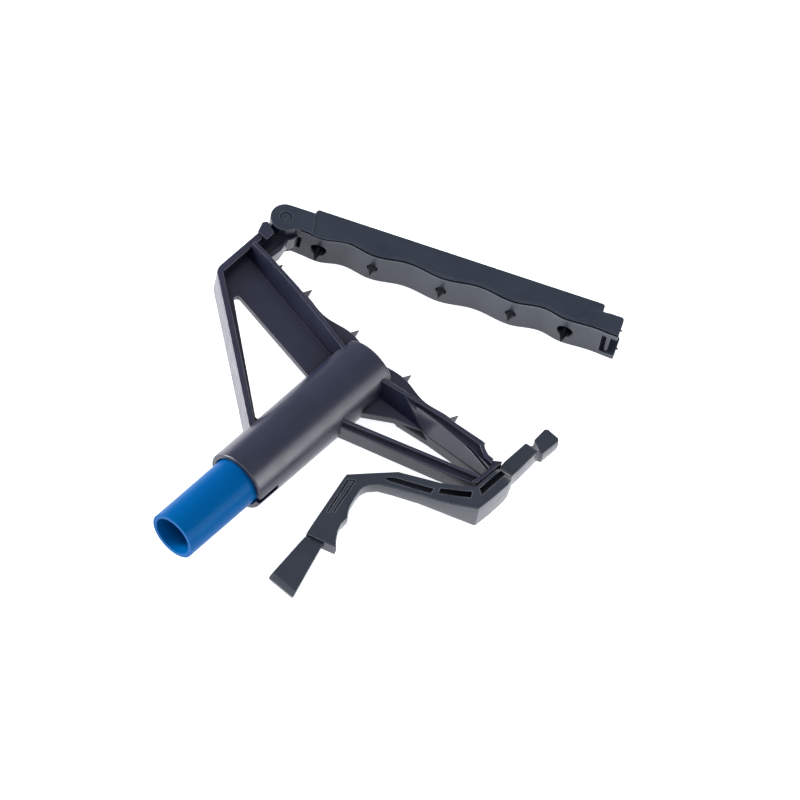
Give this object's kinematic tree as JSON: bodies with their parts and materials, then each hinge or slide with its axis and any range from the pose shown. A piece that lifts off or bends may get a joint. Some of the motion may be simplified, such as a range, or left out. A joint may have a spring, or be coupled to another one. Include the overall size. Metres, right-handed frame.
{
  "type": "quick-change mop holder head",
  "caption": "Wet-mop holder head: a hinged jaw closes over a mop band onto a wavy gripping plate and is latched by a squeeze trigger with a scraper blade; the handle is cut short.",
  "frame": {"origin": "under the middle of the whole part, on the surface it lies on", "axes": "+X from the jaw's hinge end towards the trigger, +Y along the handle towards the jaw, +Z out of the head's front face, so the head lies on its back"},
  "size_m": [0.1836, 0.2454, 0.032],
  "materials": {
    "charcoal_plastic": "satin moulded slate charcoal",
    "jaw_plastic": "satin moulded slate charcoal",
    "lever_plastic": "satin moulded slate charcoal",
    "pin_plastic": "satin moulded charcoal",
    "blue_fibreglass": "glossy blue pultruded tube",
    "zinc_steel": "zinc-plated"
  },
  "bodies": {
    "frame": {"head_frame": "charcoal_plastic", "handle_tube": "blue_fibreglass", "handle_screw": "zinc_steel", "lever_pivot_pin": "zinc_steel", "lever_return_spring": "zinc_steel"},
    "jaw": {"gripping_jaw": "jaw_plastic", "end_stud_hinge_side": "jaw_plastic", "end_stud_latch_side": "jaw_plastic", "jaw_hinge_pin": "pin_plastic"},
    "lever": {"trigger_lever": "lever_plastic", "scraper_blade": "lever_plastic"}
  },
  "joints": [
    {"name": "jaw_hinge", "type": "hinge", "parent": "frame", "child": "jaw", "pos_m": [-0.08445, 0.04429, 0.016], "axis": [0, 0, 1], "range_deg": [-25.5, 95]},
    {"name": "trigger_pivot", "type": "hinge", "parent": "frame", "child": "lever", "pos_m": [0.08525, 0.00529, 0.016], "axis": [0, 0, -1], "range_deg": [0, 6], "stiffness_Nm_per_rad": 1, "springref_deg": -11.46}
  ]
}
